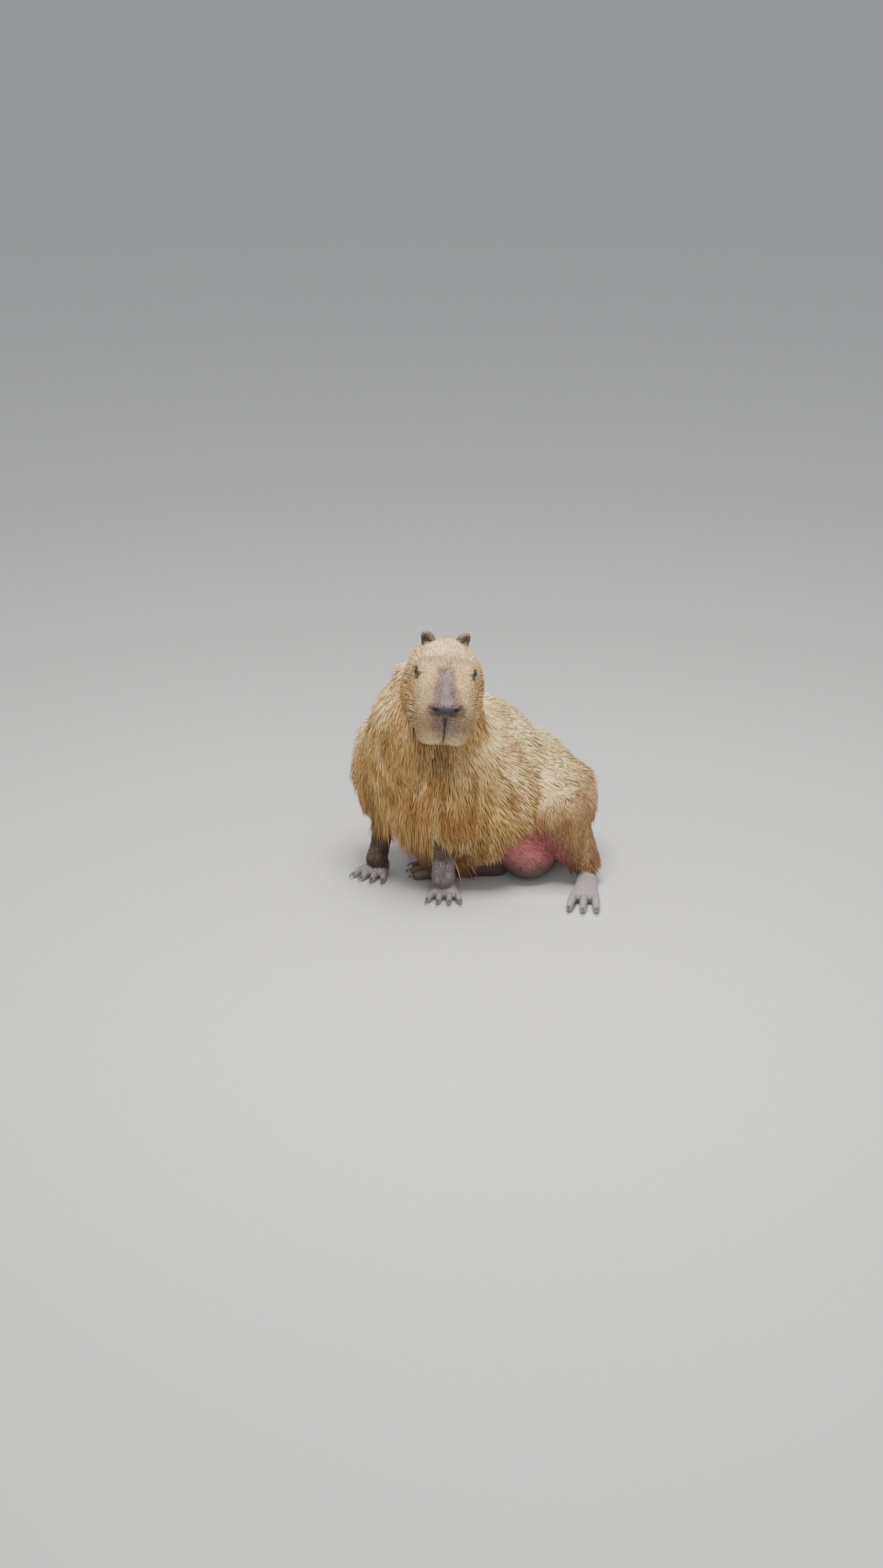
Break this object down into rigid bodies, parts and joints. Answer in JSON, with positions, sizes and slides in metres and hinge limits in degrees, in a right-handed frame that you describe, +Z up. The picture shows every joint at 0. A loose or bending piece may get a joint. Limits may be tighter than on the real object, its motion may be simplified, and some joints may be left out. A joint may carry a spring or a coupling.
{
  "type": "sitting capybara",
  "caption": "Life-size still capybara sitting on one haunch, forelegs straight, head turned to its left, with a shaggy coat, small ears and blunt muzzle.",
  "frame": {"origin": "on the floor, under the middle of the animal's length and width", "axes": "+Z up, the chest faces -Y, the animal's left is +X"},
  "size_m": [0.6662, 0.6834, 0.7138],
  "materials": {
    "body_fur": "matt, coarse hair",
    "neck_fur": "matt, coarse sun-bleached hair",
    "face_fur": "matt, short hair",
    "leg_fur": "matt, short dark hair",
    "ear_skin": "bare skin, satin",
    "foot_skin": "bare skin, matt",
    "claw": "horn, satin",
    "eye": "wet, glossy"
  },
  "bodies": {
    "root": {"head": "face_fur", "left_ear": "ear_skin", "left_eye": "eye", "left_forearm": "leg_fur", "left_forefoot": "foot_skin", "left_forefoot_claw_1": "claw", "left_forefoot_claw_2": "claw", "left_forefoot_claw_3": "claw", "left_forefoot_claw_4": "claw", "left_hind_foot": "foot_skin", "left_hind_foot_claw_1": "claw", "left_hind_foot_claw_2": "claw", "left_hind_foot_claw_3": "claw", "left_shank": "leg_fur", "left_thigh": "body_fur", "left_upper_arm": "body_fur", "neck": "neck_fur", "right_ear": "ear_skin", "right_eye": "eye", "right_forearm": "leg_fur", "right_forefoot": "foot_skin", "right_forefoot_claw_1": "claw", "right_forefoot_claw_2": "claw", "right_forefoot_claw_3": "claw", "right_forefoot_claw_4": "claw", "right_hind_foot": "foot_skin", "right_hind_foot_claw_1": "claw", "right_hind_foot_claw_2": "claw", "right_hind_foot_claw_3": "claw", "right_shank": "leg_fur", "right_thigh": "body_fur", "right_upper_arm": "body_fur", "torso": "body_fur"}
  },
  "joints": []
}
